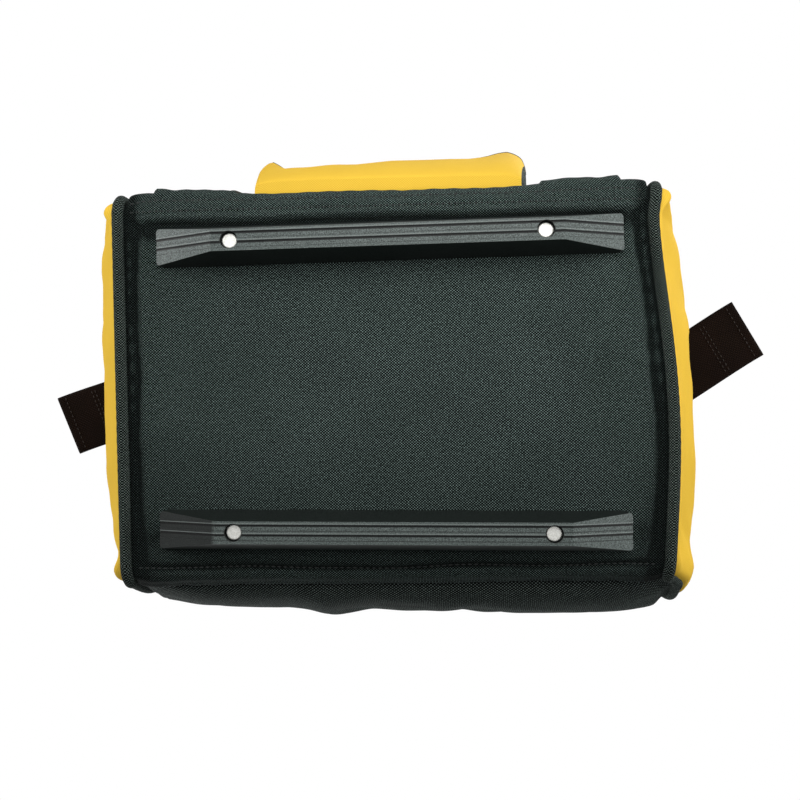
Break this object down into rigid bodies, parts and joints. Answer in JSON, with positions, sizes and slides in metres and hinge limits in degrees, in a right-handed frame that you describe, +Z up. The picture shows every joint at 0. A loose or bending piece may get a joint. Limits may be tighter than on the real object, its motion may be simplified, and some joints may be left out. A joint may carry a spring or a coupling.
{
  "type": "tool bag",
  "caption": "Soft zipped tool bag with a stiff base on skid runners, yellow end panels and front pocket, webbing handles and end tabs.",
  "frame": {"origin": "middle of the base on the floor, under the runners' feet", "axes": "+X along the bag towards the end where the zip's slider is parked, -Y towards the front pocket, +Z up"},
  "size_m": [0.5808, 0.3129, 0.3422],
  "materials": {
    "base_cloth": "black base cloth with a fine diagonal weave",
    "body_cloth": "black body cloth with a fine diagonal weave",
    "yellow_cloth": "warm yellow cloth, closely woven",
    "piping_cloth": "black cloth over a round cord",
    "lining_cloth": "thin grey lining cloth",
    "board": "stiff black sheet, finely grained",
    "runner_plastic": "dark grey moulded plastic, finely grained",
    "rivet_metal": "nickel plated, satin",
    "webbing": "black ribbed webbing",
    "tab_webbing": "brown-black ribbed webbing",
    "grip_cloth": "black padded cloth",
    "binding": "black binding tape",
    "zip_tape": "black knitted zip tape",
    "zip_chain": "black moulded coil",
    "zip_metal": "dark nickel"
  },
  "bodies": {
    "body": {"base_panel": "base_cloth", "base_board": "board", "front_runner": "runner_plastic", "rear_runner": "runner_plastic", "runner_rivets": "rivet_metal", "rivet_washers": "rivet_metal", "front_panel": "body_cloth", "rear_panel": "body_cloth", "left_end_panel": "yellow_cloth", "right_end_panel": "yellow_cloth", "left_piping": "piping_cloth", "right_piping": "piping_cloth", "front_lining": "lining_cloth", "rear_lining": "lining_cloth", "left_end_lining": "lining_cloth", "right_end_lining": "lining_cloth", "front_pocket": "yellow_cloth", "pocket_binding": "binding", "front_left_strap": "webbing", "front_right_strap": "webbing", "rear_left_strap": "webbing", "rear_right_strap": "webbing", "left_tail_tape": "zip_tape", "right_tail_tape": "zip_tape", "left_tail_chain": "zip_chain", "right_tail_chain": "zip_chain"},
    "front_flap": {"front_flap_panel": "body_cloth", "front_zip_tape": "zip_tape", "front_zip_chain": "zip_chain"},
    "rear_flap": {"rear_flap_panel": "body_cloth", "rear_zip_tape": "zip_tape", "rear_zip_chain": "zip_chain"},
    "slider": {"zip_slider": "zip_metal"},
    "pull": {"zip_pull": "zip_metal"},
    "front_carry_handle": {"front_handle": "webbing", "front_grip": "grip_cloth"},
    "rear_carry_handle": {"rear_handle": "webbing", "rear_grip": "grip_cloth"},
    "left_end_tab": {"left_tab": "tab_webbing"},
    "right_end_tab": {"right_tab": "tab_webbing"}
  },
  "joints": [
    {"name": "front_flap_fold", "type": "hinge", "parent": "body", "child": "front_flap", "pos_m": [0, -0.091, 0.2153], "axis": [1, 0, 0], "range_deg": [0, 80]},
    {"name": "rear_flap_fold", "type": "hinge", "parent": "body", "child": "rear_flap", "pos_m": [0, 0.091, 0.2153], "axis": [-1, 0, 0], "range_deg": [0, 80]},
    {"name": "zip_run", "type": "slide", "parent": "body", "child": "slider", "axis": [1, 0, 0], "range_m": [-0.3558, 0]},
    {"name": "pull_swing", "type": "hinge", "parent": "slider", "child": "pull", "pos_m": [0.1799, 0, 0.2302], "axis": [0, -1, 0], "range_deg": [0, 170]},
    {"name": "front_handle_fold", "type": "hinge", "parent": "body", "child": "front_carry_handle", "pos_m": [0, -0.1262, 0.187], "axis": [1, 0, 0], "range_deg": [0, 140]},
    {"name": "rear_handle_fold", "type": "hinge", "parent": "body", "child": "rear_carry_handle", "pos_m": [0, 0.13467, 0.187], "axis": [-1, 0, 0], "range_deg": [0, 140]},
    {"name": "left_tab_fold", "type": "hinge", "parent": "body", "child": "left_end_tab", "pos_m": [-0.204, 0, 0.225], "axis": [0, -1, 0], "range_deg": [-45, 75]},
    {"name": "right_tab_fold", "type": "hinge", "parent": "body", "child": "right_end_tab", "pos_m": [0.204, 0, 0.225], "axis": [0, 1, 0], "range_deg": [-45, 75]}
  ]
}
